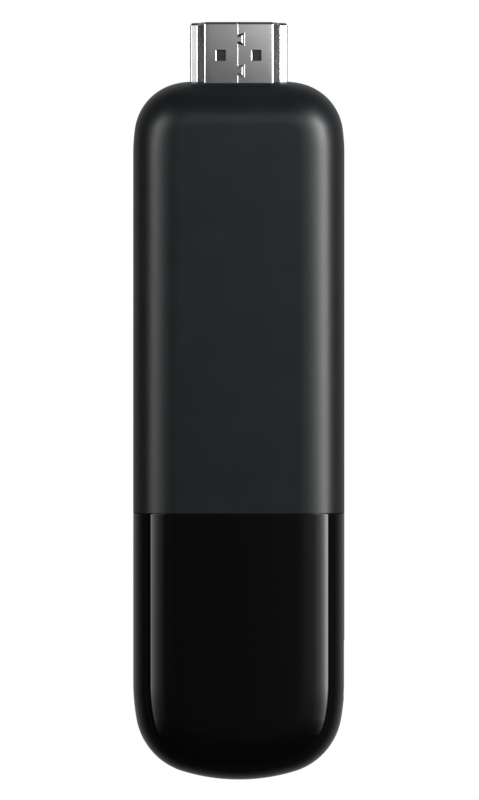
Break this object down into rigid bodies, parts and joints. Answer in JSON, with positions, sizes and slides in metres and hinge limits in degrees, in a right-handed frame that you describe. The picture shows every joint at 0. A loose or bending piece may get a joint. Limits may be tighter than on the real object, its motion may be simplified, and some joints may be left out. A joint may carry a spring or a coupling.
{
  "type": "streaming media player",
  "caption": "Upright stick with a rounded body, matte above and glossy below, an HDMI plug on its top end and a micro-B power socket in its side.",
  "frame": {"origin": "centre of the HDMI plug where it leaves the body's top end", "axes": "+Z along the plug, out of the body; the front faces -Y; +X to the side with the power socket"},
  "size_m": [0.03, 0.014, 0.1078],
  "materials": {
    "matte_housing": "fine-grained matte",
    "gloss_housing": "high gloss",
    "label_film": "satin",
    "adhesive_film": "matte",
    "plug_steel": "nickel plated, lightly brushed",
    "socket_steel": "tin plated, satin",
    "insulator_plastic": "satin",
    "contact_gold": "gold plated",
    "board_laminate": "solder mask, satin",
    "chip_mould": "moulded",
    "ferrite": "sintered",
    "ceramic_tan": "ceramic with tinned ends",
    "ceramic_black": "coated ceramic with tinned ends",
    "crystal_case": "plated",
    "shield_steel": "tinned sheet",
    "thermal_pad": "soft silicone",
    "spreader_aluminium": "rolled",
    "antenna_sheet": "stamped"
  },
  "bodies": {
    "root": {"front_cover": "matte_housing", "gloss_cover": "gloss_housing", "gloss_cover_tape": "adhesive_film", "rear_cover": "matte_housing", "rating_label": "label_film", "hdmi_shell": "plug_steel", "hdmi_insulator": "insulator_plastic", "hdmi_contacts": "contact_gold", "usb_shell": "socket_steel", "usb_insulator": "insulator_plastic", "usb_contacts": "contact_gold", "main_board": "board_laminate", "processor": "chip_mould", "memory_chips": "chip_mould", "flash_chip": "chip_mould", "power_chip": "chip_mould", "power_inductors": "ferrite", "wifi_chip": "chip_mould", "wifi_shield": "shield_steel", "crystals": "crystal_case", "capacitors": "ceramic_tan", "resistors": "ceramic_black", "front_shield_frame": "shield_steel", "front_shield_lid": "shield_steel", "rear_shield_frame": "shield_steel", "rear_shield_lid": "shield_steel", "chip_thermal_pads": "thermal_pad", "flash_thermal_pad": "thermal_pad", "front_thermal_pad": "thermal_pad", "rear_thermal_pad": "thermal_pad", "front_heat_spreader": "spreader_aluminium", "rear_heat_spreader": "spreader_aluminium", "antenna_main": "antenna_sheet", "antenna_second": "antenna_sheet"}
  },
  "joints": []
}
